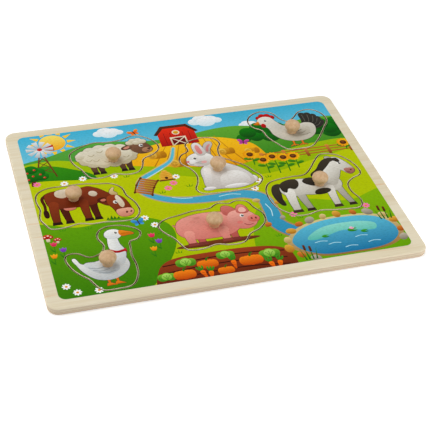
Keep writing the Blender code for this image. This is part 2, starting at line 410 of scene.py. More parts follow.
def lie_of_the_land():
    """Sky, far hills, the wheat field, the wood on the right and the meadows in front."""
    pen = Pen()
    pen.block(-145, 40, 145, 110, "96def0", "44c2e2", 90)
    for turn in range(0, 360, 30):
        Pen(-112, 92, 1, turn).flat([(13, -2.2), (21, 0), (13, 2.2)], "ffd93b")
    pen.oval(-112, 92, 11.5, 11.5, "fff07a", "f8b810")
    for spot in ((-62, 97.5, 1), (26, 98, 1.15), (63, 84, 0.7)):
        cloud = Pen(*spot)
        for dx, dy, r in ((-8, -1, 4.4), (-2.5, 1.6, 5.6), (4, 0.4, 5), (9, -1.6, 3.6), (0.5, -2.4, 6)):
            cloud.oval(dx, dy, r * 1.25, r, "ffffff", "dcf0f6")
    far_hill = [(-150, 60), (-120, 72), (-80, 84), (-35, 78), (0, 70), (0, 30), (-150, 30)]
    pen.curve(far_hill, "6ab84a", "2f9420")
    pen.curve([
        (-30, 60), (5, 78), (45, 84), (85, 76), (120, 82), (150, 74), (150, 30), (-30, 30),
    ], "74bc3c", "2c8c1c")
    pen.curve([(-60, 30), (-46, 62), (-20, 72), (10, 74), (40, 66), (60, 50), (60, 20)], "ffd424", "f0ac0c")
    for k in range(9):
        furrow = [(-42 + 11 * k, 26), (-26 + 7.6 * k, 52), (-14 + 5.2 * k, 73)]
        pen.stroke(furrow, (1.3, 0.4), "c98a14")
    for spot in ((70, 70, 1.1), (84, 66, 1.25), (58, 66, 0.95), (140, 62, 1.3), (125, 66, 1.1)):
        wood = Pen(*spot)
        for dx, dy, r in ((-6, -3, 7), (6, -3, 7), (0, 5, 8)):
            wood.oval(dx, dy, r, r, "0f8c0c", "045004")
    pen.curve([
        (-160, 20), (-150, 58), (-118, 66), (-90, 58), (-50, 44), (-10, 34), (30, 26), (70, 36),
        (110, 44), (150, 40), (160, 0), (0, -30), (-160, -20),
    ], "b6d004", "96be00")
    pen.curve([(-150, 50), (-128, 60), (-104, 52), (-84, 34), (-100, 22), (-150, 20)], "3fa010", "157a08")
    pen.curve([
        (-150, 30), (-90, 34), (-40, 30), (10, 14), (60, 10), (110, 22), (160, 24), (160, -120), (-160, -120),
    ], "ccd804", "b0c800")
    pen.curve([
        (-150, -20), (-110, -26), (-70, -22), (-40, -40), (-50, -80), (-90, -120), (-150, -120),
    ], "74b404", "2f8204")
    pen.curve([(30, -40), (70, -30), (110, -40), (150, -34), (150, -120), (30, -120)], "98c608", "66a804")


def wind_pump(x, y, size):
    pen = Pen(x, y, size)
    for foot in (-6, 6):
        pen.stroke([(foot, 0), (0, 30)], 1, "9a5a2a", "6b3a18")
    for low, high in ((4, 10), (10, 16), (16, 22)):
        left, right = 6 - low / 5, 6 - high / 5
        pen.stroke([(-left, low), (right, high)], 0.6, "7a441e")
        pen.stroke([(left, low), (-right, high)], 0.6, "7a441e")
    pen.flat([(0, 30.6), (9, 34), (9, 27.2), (0, 29.4)], "d8321c", "a81a10")
    for turn in range(0, 360, 36):
        sail = Pen(x, y + 30 * size, size, turn)
        sail.flat([(1.6, -0.5), (8.6, -2), (8.6, 1.6), (1.6, 0.6)], "f3f5f5", "b9c4c8")
    pen.oval(0, 30, 1.7, 1.7, "d8321c")


def barn(x, y, size):
    pen = Pen(x, y, size)
    pen.flat([(-15, 0), (-15, 17), (-9, 24), (9, 24), (15, 17), (15, 0)], "f03a1a", "b81a12")
    for k in range(5):
        pen.stroke([(-10 + 5 * k, 0.4), (-10 + 5 * k, 17)], 0.4, "8f1410")
    pen.flat([
        (-18, 16), (-10.5, 27), (10.5, 27), (18, 16), (15.6, 15), (9, 23.6), (-9, 23.6), (-15.6, 15),
    ], "6b3319", "41200f")
    pen.block(-6.4, 0, 6.4, 11, "f6ead2", "dcc9a4")
    pen.block(-5.2, 0, 5.2, 9.8, "8f1a12", "5d0f0b")
    pen.stroke([(-5, 0.4), (5, 9.6)], 0.9, "f6ead2")
    pen.stroke([(-5, 9.6), (5, 0.4)], 0.9, "f6ead2")
    pen.oval(0, 17, 3.1, 3.1, "f6ead2")
    pen.oval(0, 17, 2.2, 2.2, "f5c52c", "d89a10")


def straw_bale(x, y, size):
    pen = Pen(x, y, size)
    pen.block(-2, -4.6, 7, 4.6, "e9b32c", "b97c10")
    pen.oval(7, 0, 2.4, 4.6, "d89a1a", "b0740c")
    pen.oval(-2, 0, 3.6, 4.7, "f8d860", "d99f1e")
    for r in (2.6, 1.5):
        turns = (0.3, 1.4, 2.6, 3.7, 4.8, 5.9)
        pen.stroke([(-2 + 0.75 * r * cos(a), r * sin(a)) for a in turns], 0.35, "a8700e")


def apple_tree(x, y, size):
    pen = Pen(x, y, size)
    pen.curve([(-3.2, 0), (-2.4, 12), (-5, 18), (5, 18), (2.4, 12), (4, 0), (0, 1)], "8a4d20", "5a2d10")
    for dx, dy, r in ((-11, 18, 8), (11, 18, 8), (-6, 27, 9), (7, 27, 9), (0, 20, 11), (0, 33, 8)):
        pen.oval(dx, dy, r * 1.08, r, "22961a", "045c04")
    for dx, dy in ((-12, 19), (-5, 27), (4, 32), (10, 22), (1, 20), (-5, 14), (14, 15)):
        pen.oval(dx, dy, 1.7, 1.7, "f4402a", "b8140c")
        pen.oval(dx - 0.5, dy + 0.6, 0.5, 0.5, "ffb09c")


def stream_and_pond():
    pen = Pen()
    bed = [
        (-12, 62), (-19, 45), (-34, 34), (-49, 23), (-52, 9), (-39, -4), (-20, -11), (4, -13), (28, -13),
        (42, -22), (44, -40), (44, -56), (56, -70), (74, -78),
    ]
    pond = [
        (48, -84), (56, -70), (74, -62), (98, -60), (122, -64), (134, -76), (134, -90), (120, -100),
        (92, -102), (64, -99),
    ]
    pen.stroke(bed, (4, 18), "e6d9a0", "b58c4e")
    pen.stroke(bed, (2, 14.6), "6fd0e6", "2a9cc4")
    middle = Vector((92, -82))
    shore = [middle + (Vector(p) - middle) * 1.1 for p in pond]
    pen.curve(shore, "e6d9a0", "a87c40")
    pen.curve(pond, "6fd0e6", "1f86b4")
    pen.curve([(62, -82), (74, -70), (98, -67), (120, -72), (118, -80), (92, -76)], "a2e8dc", "66cabe")
    for ripple in (
        ((-30, -5), (-22, -8), (-14, -9)), ((8, -12), (18, -11), (26, -13)),
        ((42, -30), (44, -38), (43, -46)), ((-46, 24), (-36, 30), (-28, 35)),
    ):
        pen.stroke(ripple, 0.7, "d8f6fa")
    for x, y in ((80, -90), (104, -86), (112, -94), (70, -86), (92, -96)):
        pen.stroke([(x - 5, y), (x, y + 1), (x + 5, y)], 0.7, "bdeaf4")
    leaf = [(0, 0)] + [(cos(0.4 + 0.34 * k), 0.55 * sin(0.4 + 0.34 * k)) for k in range(17)]
    for spot in ((100, -77, 4.4), (109, -80.5, 3.4), (76, -80, 3.2)):
        Pen(*spot).flat(leaf, "55b83a", "2b8a1e")
    lily = Pen(100, -76)
    for k in range(5):
        tip = 2.6 * cos(0.5 + 0.54 * k), 3.4 * sin(0.5 + 0.54 * k)
        lily.curve([(0, -0.6), tip, (0.6, 0.8)], "ffd9ea", "f080b4")


def bridge(x, y, turn):
    pen = Pen(x, y, 1, turn)
    for k in range(7):
        at = -9 + 3 * k
        pen.block(at - 1.3, -7, at + 1.3, 7, "d9954a", "a8622a")
    for side in (-7.4, 7.4):
        pen.stroke([(-11, side), (0, side + 1), (11, side)], 1.4, "8a4a1e")
        for at, rise in ((-10, 0), (0, 1), (10, 0)):
            pen.oval(at, side + rise, 1.2, 1.2, "6b3614")


def shore_stones():
    tones = (("f2c14e", "b87a1c"), ("e8953a", "a8571a"), ("cfc6b4", "8f8674"), ("f0dca0", "b89c54"))
    stone = [(-1.1, -0.2), (-0.6, 0.7), (0.4, 0.8), (1.1, 0.2), (0.7, -0.7), (-0.4, -0.8)]
    for n, spot in enumerate((
        (51, -68, 4), (60, -61, 3.4), (70, -58, 4.2), (82, -56, 3.2), (94, -55.4, 4), (108, -56, 3.2),
        (120, -58, 4.4), (131, -64, 3.6), (138, -72, 4.2), (139, -84, 3.6), (137, -94, 4), (45, -78, 3.6),
        (43, -88, 4.4), (50, -97, 3.6), (60, -103, 4), (36, -24, 3), (52, -30, 2.6), (36, -56, 3),
        (50, -50, 2.6),
    )):
        Pen(*spot, 23 * n).curve(stone, *tones[n % 4])


def reeds(x, y):
    pen = Pen(x, y)
    for dx, lean, tall in ((-4, -2, 15), (-1.4, -0.6, 20), (1.6, 1, 17), (4.4, 3, 13)):
        pen.flat([(dx - 0.7, 0), (dx + lean, tall), (dx + 0.7, 0)], "3f9a1c", "1f6a10")
    for dx, tall in ((-1.8, 15), (2.4, 13)):
        pen.stroke([(dx, tall - 3), (dx + 0.3, tall + 1.6)], 2, "7a3f16", "4f260c")


def rail_fence(x, y, span, posts):
    pen = Pen(x, y)
    for high in (1.4, 5, 8.6):
        pen.block(-2, high, span + 2, high + 1.6, "d88b3a", "a85f20")
    for k in range(posts):
        at = span * k / (posts - 1)
        pen.block(at - 1.5, -1.4, at + 1.5, 12, "e59c48", "8f4f1a")


def sunflower(x, y, tall):
    pen = Pen(x, y)
    pen.stroke([(0, 0), (0.6, tall * 0.5), (0, tall)], 1.1, "3f8f14")
    for side, high in ((1, 0.34 * tall), (-1, 0.52 * tall)):
        leaf = [(0, high), (side * 4, high + 3.4), (side * 7, high + 2), (side * 4, high - 0.4)]
        pen.curve(leaf, "57a81c", "2f7a10")
    for turn in range(0, 360, 30):
        petal = Pen(x, y + tall, 1, turn)
        petal.curve([(2, -1.2), (4.4, -1.4), (6.2, 0), (4.4, 1.4), (2, 1.2)], "ffd21e", "f09a08", 180)
    pen.oval(0, tall, 3, 3, "7a4416", "4a250a")
    pen.oval(0, tall, 1.6, 1.6, "9a5e22", "6a3a12")


def vegetable_bed():
    pen = Pen()
    pen.curve([
        (-62, -90), (-50, -80), (-20, -78), (14, -79), (36, -84), (44, -94), (40, -112), (-64, -112),
    ], "ac4c22", "5c1c0a")
    for k in range(3):
        y = -86.5 - 8 * k
        pen.stroke([(-58 - k, y), (-20, y + 2.4), (12, y + 1.6), (38, y - 2)], 1.2, "451206")


def cabbage(x, y, size):
    pen = Pen(x, y, size)
    for turn, far in ((200, 3.4), (340, 3.4), (160, 3.6), (20, 3.6), (90, 3)):
        a = radians(turn)
        pen.oval(far * cos(a), 0.6 * far * sin(a), 4, 3.4, "8fd03a", "3f8f1c")
    pen.oval(0, 0.6, 4, 3.8, "c6ea7a", "7fbf2c")
    for dx, dy in ((-2.6, 1.8), (0, 2.6), (2.6, 1.8)):
        pen.stroke([(0, -2.8), (dx / 2, 0), (dx, dy)], 0.4, "5a9a24")


def pumpkin(x, y, size):
    pen = Pen(x, y, size)
    for dx, tall in ((-4.4, 3.9), (4.4, 3.9), (-2.4, 4.2), (2.4, 4.2), (0, 4.6)):
        pen.oval(dx, 0, 3, tall, "ff9a1e", "cf5208")
    pen.stroke([(0, 4), (0.4, 5.6), (2, 6.6)], (1.5, 0.9), "3f7a14")


def carrot(x, y, turn):
    pen = Pen(x, y, 1, turn)
    for lean in (-2.2, 0, 2.2):
        pen.curve([(-0.5, 1), (lean - 0.8, 5), (lean, 7.4), (lean + 0.8, 5), (0.5, 1)], "4fae24", "2a7f14")
    pen.curve([(-2, 1), (0, 2), (2, 1), (1.2, -4), (0, -8), (-1.2, -4)], "ff8a1c", "d85a08")
    for high in (-0.6, -3):
        pen.stroke([(-1.2, high), (0.6, high - 0.4)], 0.35, "b84806")


def tulip(x, y, kind):
    tones = {"pink": ("ff5a8a", "d81c54"), "violet": ("b06ae0", "7a34b0"), "yellow": ("ffcf2c", "f08a08")}
    pen = Pen(x, y)
    pen.stroke([(0, 0), (0.3, 7)], 0.7, "3f8f14")
    pen.curve([(0, 0.4), (-3, 4), (-3.4, 7), (-1.4, 3.6)], "57a81c", "2f7a10")
    pen.flat([
        (-2.2, 9.6), (-2.4, 12.6), (-1, 11.2), (0.3, 13), (1.6, 11.2), (3, 12.6), (2.8, 9.6),
        (1.6, 7.4), (-1, 7.4),
    ], *tones[kind])


def daisy(x, y, ink="ffffff"):
    for turn in range(0, 360, 45):
        Pen(x, y, 1, turn).oval(2, 0, 1.5, 0.85, ink)
    Pen(x, y).oval(0, 0, 1.15, 1.15, "f8c01c", "e08a08")


def grass_tuft(x, y):
    pen = Pen(x, y)
    for dx, lean, tall in ((-1.4, -1.6, 3), (0, 0.2, 4.4), (1.4, 1.8, 3.2)):
        pen.flat([(dx - 0.6, 0), (dx + lean, tall), (dx + 0.6, 0)], "4f9c0a")


def mushroom(x, y, size):
    pen = Pen(x, y, size)
    pen.curve([(-1.5, 0), (-1.1, 5), (1.1, 5), (1.5, 0), (0, -0.6)], "f8f0de", "d8c8a8")
    pen.curve([(-5, 4.4), (-3.6, 8), (0, 9.6), (3.6, 8), (5, 4.4), (0, 3.6)], "e8321c", "a8140c")
    for dx, dy, r in ((-2.4, 6.4, 0.9), (0.6, 7.8, 1), (2.8, 5.8, 0.8)):
        pen.oval(dx, dy, r, r * 0.8, "fff4e4")


def butterfly(x, y, turn, ink, fade):
    pen = Pen(x, y, 1, turn)
    for side in (-1, 1):
        pen.curve([(0, 0), (side * 2, 3.6), (side * 5, 4), (side * 4.6, 1), (side * 1.6, -0.4)], ink, fade)
        pen.curve([(0, 0), (side * 3, -0.4), (side * 3.6, -3), (side * 1.4, -3.2)], fade, ink)
    pen.stroke([(0, -2.6), (0, 2.4)], 0.9, "4a2a14")


def beehive(x, y, size):
    pen = Pen(x, y, size)
    pen.block(-7.5, -2.2, 7.5, 0, "9a5a2a", "6b3a18")
    for k, wide in enumerate((6.6, 6.9, 6.3, 5.1, 3.2)):
        pen.oval(0, 1.4 + 2.7 * k, wide, 1.9, "fbd45a", "dc9a1c")
    pen.oval(0, 2.2, 1.6, 2, "5a3210")


def puddle():
    """The pig's puddle, which the saw crosses on both sides of its piece."""
    Pen().oval(-8.5, -68.1, 34, 3.2, "8a4a22", "6b3416")


# From the back to the front: each drawing covers what was there before it.
for draw, *spots in (
    (lie_of_the_land, ()),
    (wind_pump, (-124, 44, 1.35)),
    (barn, (-4, 66, 1.12)),
    (straw_bale, (-30, 55, 1.1), (-14, 40, 1.25), (30, 48, 1), (52, 44, 0.9)),
    (apple_tree, (-136, 34, 0.7)),
    (stream_and_pond, ()),
    (bridge, (-47, 14, 64)),
    (rail_fence, (60, 27, 80, 5)),
    (sunflower, (59, 10, 19), (68, 8, 24), (77, 9, 20), (86, 12, 17), (50, 24, 15), (136, 29, 10)),
    (vegetable_bed, ()),
    (cabbage, (-40, -86, 1.1), (-8, -84, 1), (26, -90, 1.15), (-58, -99, 1)),
    (pumpkin, (-24, -91, 1.15), (10, -94, 1.3), (-44, -99, 1.2), (-12, -101, 0.9)),
    (carrot, (-30, -99, 14), (-24, -101, -8), (24, -101, 10), (31, -101, -12), (-4, -93, 0)),
    (shore_stones, ()),
    (reeds, (132, -70), (56, -104)),
    (tulip, (-134, -52, "pink"), (-128, -60, "violet"), (-136, -66, "yellow")),
    (tulip, (-58, -58, "pink"), (-54, -66, "violet"), (-60, -74, "yellow")),
    (daisy, (-133, -92), (-126, -100), (-110, -101), (-52, -36), (-112, 32.5), (-96, 36), (-70, 34)),
    (daisy, (-20, 22), (46, 2), (40, -8), (-58, -26), (-30, 8, "ff8ac0"), (-24, 14, "ff8ac0")),
    (daisy, (-134, 36, "ff8ac0"), (122, -50, "ff8ac0"), (60, -48, "ff8ac0")),
    (mushroom, (-137, -38, 0.9), (-130, -41, 0.65)),
    (beehive, (-28, 20, 0.9)),
    (butterfly, (-40, 92, 20, "ffb02c", "e8541c"), (50, 58, -15, "e86ab8", "a834a0")),
    (butterfly, (-64, -30, 10, "5ac0f0", "2a78c8")),
    (grass_tuft, (-12, 6), (-60, 30), (-124, -28), (-136, -80), (-66, -100), (40, -72), (64, -54)),
    (grass_tuft, (114, -53), (56, 4), (-56, 44), (-104, -30), (-36, 2), (46, 14), (-50, -48), (0, 0)),
    (grass_tuft, (-42, -74)),
    (puddle, ()),
):
    for spot in spots:
        draw(*spot)


# Ink and varnish have a body of their own, a few hundredths of a millimetre. Each printed top gets
# one such film: the shapes cut one another up, and every scrap keeps the ink that was laid last.
INK_BODY = 0.00005
INK_CLEAR = 0.00002
FRAYED = 0.12
PRINT_MARGIN = 0.0096
PRINT_CORNER_RADIUS = 0.006

printed = Finish("printed_and_varnished", specular=0.03)
ink = printed.node("ShaderNodeAttribute", {"attribute_name": "ink"}, output="Color")
weave = printed.cloud(420.0, 1000.0, 1000.0, detail=4.0)
patch = printed.cloud(30.0, 30.0, 30.0)
deep = printed.mix(ink, ink, 0.32, "MULTIPLY")
grained = printed.mix(deep, "cfcabc", printed.between(0.42, 0.72, weave) * 0.4, "MULTIPLY")
mottled = printed.mix(grained, "d8d4c8", printed.between(0.5, 0.8, patch) * 0.15, "MULTIPLY")
printed.put("Base Color", mottled)
printed.put("Roughness", 0.34 + 0.12 * patch)
printed.relief(weave, 0.00004)


def rims_of_top(node):
    """The closed lines round a node's flat top, in millimetres, with the outer one first."""
    shape = merged_copy(node)
    top = max(v.co.z for v in shape.verts)
    bmesh.ops.delete(shape, geom=[v for v in shape.verts if v.co.z < top - SAME_LEVEL], context="VERTS")
    edges = {e for e in shape.edges if e.is_boundary}
    rims = []
    while edges:
        first, here = edges.pop().verts
        rim = [first.co.xy * MM]
        while here != first:
            rim.append(here.co.xy * MM)
            step = next(e for e in here.link_edges if e in edges)
            edges.remove(step)
            here = step.other_vert(here)
        rims.append(rim)
    shape.free()
    return sorted(rims, key=lambda rim: -abs(doubled_area(rim)))


def meet(line, other):
    """Whether the upright boxes round two lines overlap."""
    return all(min(a) < max(b) and max(a) > min(b) for a, b in zip(zip(*line), zip(*other)))


def lay_print(node, body, within=None):
    """Lays the drawn inks over a node's top, or over the part of it within a given line.

    The saw frays the print a little, so it stops short of each hole by FRAYED.
    """
    rims = [rim if doubled_area(rim) > 0 else rim[::-1] for rim in rims_of_top(node)]
    field, holes = within or rims[0], [eased(rim, FRAYED) for rim in rims[1:]]
    near = [drawn for drawn in Pen.inks if meet(drawn[0], field)]
    points, loops = [], []
    for line in [field] + [drawn[0] for drawn in near] + holes:
        loops.append(list(range(len(points), len(points) + len(line))))
        points += line
    inside_only, weld, with_owners = 1, 1e-4, True
    spots, _, scraps, _, _, owners = delaunay_2d_cdt(points, [], loops, inside_only, weld, with_owners)

    film = bmesh.new()
    mark = film.faces.layers.int.new("mark")
    shade = film.loops.layers.float_color.new("ink")
    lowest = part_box(node)[1].z + INK_CLEAR
    corners = [film.verts.new((p.x / MM, p.y / MM, lowest)) for p in spots]
    for scrap, owned in zip(scraps, owners):
        if 0 in owned and 0 < max(owned) <= len(near):
            film.faces.new([corners[i] for i in scrap])[mark] = max(owned) - 1
    bmesh.ops.delete(film, geom=[v for v in film.verts if not v.link_faces], context="VERTS")
    pull(film, film.faces[:], INK_BODY)
    film.normal_update()
    for face in film.faces:
        source = face
        if abs(face.normal.z) < 0.5:
            source = next(f for e in face.edges for f in e.link_faces if abs(f.normal.z) > 0.5)
        _, first, last, heading, start, end = near[source[mark]]
        for corner in face.loops:
            share = ((corner.vert.co.xy * MM).dot(heading) - start) / (end - start)
            corner[shade] = first.lerp(last, max(0.0, min(1.0, share)))
    add_piece(node.split("_")[0] + "_print", film, printed, body)


half_width = MM * (BOARD_HALF_WIDTH - PRINT_MARGIN - PRINT_CORNER_RADIUS)
half_depth = MM * (BOARD_HALF_DEPTH - PRINT_MARGIN - PRINT_CORNER_RADIUS)
print_edge = [
    Vector((x * half_width, y * half_depth))
    + MM * PRINT_CORNER_RADIUS * Vector((cos(radians(turn + a)), sin(radians(turn + a))))
    for x, y, turn in ((1, -1, -90), (1, 1, 0), (-1, 1, 90), (-1, -1, 180))
    for a in range(0, 91, 9)
]
lay_print("face_panel", "board", within=print_edge)


# THE SHEEP
# A curly ewe with a brown face, printed with the meadow round her and sawn out with 4 mm to spare.
# The piece is bare birch ply under its print, and its sawn walls are lightly browned, with painted shade
# darkening them lower down.
def knob_axis(name):
    """Where an animal's knob stands on the board, in metres."""
    low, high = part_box(name + "_knob")
    return (low.x + high.x) / 2, (low.y + high.y) / 2


def animal_pen(name):
    """A pen where the animal's knob stands, because the animal is drawn round its knob."""
    return Pen(*(MM * place for place in knob_axis(name)))


def eye(pen, x, y, size):
    pen.oval(x, y, size, size * 1.15, "f7f6f0")
    pen.oval(x + size * 0.25, y - size * 0.1, size * 0.62, size * 0.75, "2a1c16")
    pen.oval(x + size * 0.45, y + size * 0.3, size * 0.24, size * 0.24, "ffffff")


def leg(pen, top, foot, width, ink, fade, hoof):
    """A leg that narrows from the body to the hoof, and bends a little at the knee."""
    end = foot[0], foot[1] - 1.6 + 0.34 * width
    knee = (top[0] + end[0]) / 2 - 0.4, (top[1] + end[1]) / 2
    pen.stroke([top, knee, end], (width, width * 0.68), ink, fade)
    left, right = foot[0] - width * 0.46, foot[0] + width * 0.48
    low, high = foot[1] - 2.0, foot[1] + 1.2
    pen.flat([(left + 0.3, high), (right - 0.5, high), (right + 0.3, low), (left - 0.3, low)], hoof)


def print_animal(name, pen, edge):
    """Outlines the animal that the pen has drawn, and prints it on its piece of bare ply."""
    pen.outline(edge)
    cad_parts[name + "_piece"].data.materials[0] = face_wood
    lay_print(name + "_piece", name)


pen = animal_pen("sheep")
for x, far in ((-12, 1), (12, 1), (-18, 0), (6, 0)):
    leg(pen, (x, -5), (x + 0.5, -15.5), 5.2, "6b4a38" if far else "8a6349", "4e3326", "2b1b14")
wool, dim = "f2eddc", "cfc5a6"
for k in range(14):
    a = 2 * pi * k / 14
    pen.oval(-4 + 21 * cos(a), 7 + 11.5 * sin(a), 6, 5.6, wool if sin(a) > -0.2 else "ddd3b8", dim)
pen.oval(-4, 7, 22, 12.5, wool, "e0d7be")
for x, y in ((-17, 10), (-9, 14), (-14, 2), (-5, -1), (6, 13), (12, 3), (-20, 3)):
    pen.stroke([(x - 2.6, y + 0.6), (x, y - 1.4), (x + 2.6, y + 0.8)], 0.8, "c4b996")
pen.oval(-27, 10, 4, 4.4, wool, dim)
pen.curve([
    (18, 20), (17, 13), (22, 5.5), (30, 4), (36, 7.5), (35.5, 13), (31, 20), (24, 23),
], "9a6f52", "6e4a35", -60)
pen.oval(31.5, 8.6, 4.6, 3.8, "c79a78", "a97c5e")
pen.oval(33.5, 10.2, 1.7, 1.1, "3a2219")
pen.stroke([(33.2, 9), (33, 7.4), (30.6, 6.6)], 0.6, "3a2219")
pen.curve([(19, 18), (13, 17.5), (9.5, 13.5), (14, 11.5), (19.5, 14)], "8a6349", "5a3c2c", -120)
pen.curve([(17.5, 16.6), (13.6, 16), (11.6, 13.8), (15, 13.2)], "d99a86")
eye(pen, 27.6, 16, 1.9)
for x, y in ((18.5, 21), (22, 24), (26.5, 24.2), (30, 21.6), (24.5, 20.6)):
    pen.oval(x, y, 3.5, 3.1, wool, dim)
print_animal("sheep", pen, "4a3626")


# THE COW
# A brown cow with cream patches, head down to graze, on a piece of the same printed ply sheet. The
# piece lies loose in its recess, with the width of the saw cut all round it.
pen = animal_pen("cow")
hide, dark, deep = "9c431c", "7a2f12", "591f0b"
pen.stroke([(-21, 10), (-25, 5), (-24.2, -4), (-24.6, -12)], (2.2, 1.4), deep)
pen.curve([(-24.6, -10), (-26.3, -15), (-24.4, -20), (-22.6, -15)], "3a1508")
leg(pen, (-10, -6), (-8, -28), 6.6, deep, deep, "2b130a")
leg(pen, (14, -6), (15, -28), 6.4, deep, deep, "2b130a")
pen.oval(-5, -10.5, 5.2, 3.6, "eba592", "d98774")
pen.curve([
    (-23, 5), (-20.5, 11.5), (-8, 13.5), (6, 13), (15, 14), (21, 8), (22, -1), (18, -9), (6, -11),
    (-8, -10.5), (-19, -9),
], hide, dark)
pen.curve([
    (11, 13.5), (20, 11), (28, 3), (35, -6), (32, -14), (25, -14), (18, -8), (9, -4),
], hide, dark, -70)
leg(pen, (-17, -4), (-18, -28), 8, hide, dark, "2b130a")
leg(pen, (7, -5), (7.5, -28), 7.4, hide, dark, "2b130a")
pen.curve([(-12, 13.6), (-14, 7), (-8, 3), (-2, 6), (3, 4), (5, 9), (3, 13.4)], "f1e6d3", "dccbb0")
pen.curve([(13, 3), (17, 0), (20, 3), (18, 7), (14, 7)], "f1e6d3", "dccbb0")
pen.curve([(32.4, -2), (29.6, 1.4), (31, 6), (34.4, 8.4), (33.4, 4), (36, -0.6)], "efdcae", "cdb27a")
pen.curve([(26, -4), (20, -3.4), (18, -7.4), (22, -9.6), (27, -9)], deep, deep)
pen.curve([(25, -5.4), (21.6, -5.2), (20.6, -7.2), (24, -8.2)], "d98a70")
pen.curve([
    (27, -3), (34, -1.6), (39.5, -7), (42.6, -17), (43, -25), (38, -29.6), (31.5, -27.6), (29, -20),
    (25.5, -11),
], "a94d22", dark, -60)
pen.curve([(34, -2.4), (37.6, -8), (38.6, -16), (36, -19), (33.8, -12)], "f1e6d3", "dccbb0")
pen.curve([
    (30.6, -22), (36, -20.4), (43, -21.4), (43.8, -27), (38.6, -31), (32, -29.4),
], "f3bfa6", "dc957c")
pen.oval(38.4, -25.6, 1, 1.4, "7c3a2a", turn=-20)
pen.oval(42, -25.4, 0.8, 1.3, "7c3a2a", turn=-20)
eye(pen, 32, -11, 1.9)
for x, tall in ((24.5, 5), (27, 3.4), (21.6, 3), (30, 2.4)):
    pen.flat([(x - 1, -32.5), (x + 0.6, -32.5 + tall), (x + 1.2, -32.5)], "2f8a12")
print_animal("cow", pen, "3a1408")


# THE GOOSE
# A white goose with a red neckerchief, on a tall piece of the printed ply. The saw keeps clear of
# the thin neck, so that the wood stays wide there.
pen = animal_pen("goose")
for x, y in ((3.5, -17), (-3, -17.6)):
    pen.stroke([(x, y + 2), (x + 0.4, y - 4)], (2.2, 1.6), "e08416")
    pen.flat([
        (x - 1.6, y - 3.4), (x + 1, y - 3), (x + 6, y - 6.2), (x + 2, y - 6), (x - 2.4, y - 6.4),
    ], "f29a22", "d97408")
pen.curve([
    (-24.5, 12), (-19, 4), (-8, 5), (2, 8), (9, 10), (15, 5), (16.2, -4), (10, -13), (0, -17.4),
    (-11, -15), (-19, -6), (-23, 3),
], "fafaf6", "c9ced0")
pen.stroke([(8, 3), (11, 12), (9.4, 21), (9.6, 31)], (13, 7.6), "fafaf6", "d8dcdd", -20)
pen.oval(11, 34, 7, 6.2, "fdfdfa", "dfe2e2")
pen.curve([(16.4, 37.6), (21, 36.4), (27.4, 32), (22.6, 30.9), (17, 31)], "f7a52c", "dd7a0c")
pen.stroke([(17.6, 33.8), (22, 33.2), (26, 32.2)], 0.5, "a85408")
eye(pen, 13.2, 35.6, 1.7)
pen.curve([
    (-17.5, 4), (-8, 4.6), (1, 4), (8, -1), (7.4, -7.4), (-1, -11), (-10, -7.6), (-15, -2),
], "e9ecec", "bfc6ca")
for y, x in ((-1.2, -14.6), (-4.4, -12), (-7.4, -8)):
    pen.stroke([(x, y), (x + 6, y - 2), (x + 12.4, y - 0.6)], 0.8, "a9b1b6")
pen.stroke([(4.6, 15.4), (10, 12.6), (15.6, 13.4)], 2.6, "d8262a", "a81418")
pen.flat([(13.4, 13.4), (17.2, 16), (17.8, 11)], "e8363a", "a81418")
print_animal("goose", pen, "4e463e")


# THE PIG
# A pink sow on a wide piece of the printed ply. Her puddle is part of the meadow's print, so it
# runs on over the saw cut on both sides.
pen = animal_pen("pig")
skin, dim, deep = "f6b3a4", "e08b80", "c9685f"
pen.stroke([(-29, 4), (-34.4, 7.4), (-36.6, 3.6), (-33.4, 2.4), (-34, 8.6), (-38, 10.4)], 1.5, dim)
for x in (-14, 13):
    leg(pen, (x, -6), (x, -18.6), 7.4, deep, deep, "8c4038")
pen.curve([
    (-31, 1), (-27, 11.4), (-14, 16.6), (2, 17), (14, 14), (21, 6), (20, -6), (10, -13), (-6, -14.6),
    (-21, -12.6), (-29, -7),
], skin, dim)
for x in (-22, 6):
    leg(pen, (x, -6), (x, -18.6), 8.6, skin, dim, "9c4a40")
pen.curve([(11, 12), (13.4, 22.4), (22.4, 15.4), (18, 9.6)], dim, deep)
pen.curve([
    (13, 1), (14.6, 11.4), (22, 15), (31, 12.4), (36, 5), (34.6, -4), (27, -9), (18, -7),
], "f9c0b2", dim)
pen.curve([(22, 13), (27.4, 21.6), (32.4, 12), (28, 9.6)], "f2a294", deep)
pen.curve([(24.4, 12.8), (27.6, 18), (30.2, 12.4)], "f9c8bc")
pen.oval(33.4, 2, 5, 4.5, "f2998c", "d87468")
pen.oval(32, 2.4, 0.8, 1.4, "8f3c34")
pen.oval(35.4, 2.2, 0.8, 1.4, "8f3c34")
eye(pen, 25.2, 7.4, 1.8)
pen.stroke([(24.4, -3.2), (27.4, -5.2), (31, -4.6)], 0.8, "a84a40")
pen.oval(21.4, -0.6, 2.5, 1.9, "ee8f84")
for x, y in ((-16, 8), (-22, 2), (-11, 12)):
    pen.oval(x, y, 2.6, 1.8, "eba092")
print_animal("pig", pen, "8a3a34")


